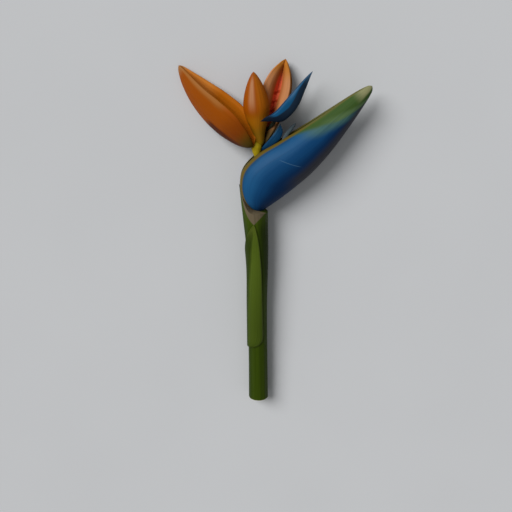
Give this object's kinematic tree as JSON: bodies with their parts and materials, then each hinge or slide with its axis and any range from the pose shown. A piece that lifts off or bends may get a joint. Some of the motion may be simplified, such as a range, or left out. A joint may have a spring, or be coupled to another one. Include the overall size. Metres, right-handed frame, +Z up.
{
  "type": "bird of paradise flower",
  "caption": "Picked bird of paradise flower lying on its side: thick green stalk, boat-shaped blue and green spathe, orange sepals and blue petals.",
  "frame": {"origin": "centre of the bounding box's footprint, at the surface the flower lies on", "axes": "+Y along the stalk towards the flower head, +Z up from the surface, +X towards the side that the spathe's tip points to"},
  "size_m": [0.179, 0.35, 0.0387],
  "materials": {
    "stalk_green": "waxy green skin with fine lengthwise fibres",
    "sheath_green": "thin green sheath, lighter at its margin",
    "spathe_blue": "waxy, deep blue below, green towards the tip, yellow-brown rim",
    "floret_yellow": "yellow-green, satin",
    "sepal_orange": "satin orange petal with soft lengthwise veins, olive at the base",
    "sepal_open": "satin peach outside, salmon red inside with darker bands",
    "petal_blue": "satin blue, dark navy underneath",
    "petal_pale": "pale grey-blue blade"
  },
  "bodies": {
    "root": {"flower_stalk": "stalk_green", "stalk_sheath": "sheath_green", "spathe": "spathe_blue", "floret_base": "floret_yellow", "sepal_left": "sepal_orange", "sepal_middle": "sepal_orange", "sepal_right": "sepal_open", "arrow_petals": "petal_blue", "nectary_petal": "petal_blue", "bud_petal": "petal_pale"}
  },
  "joints": []
}
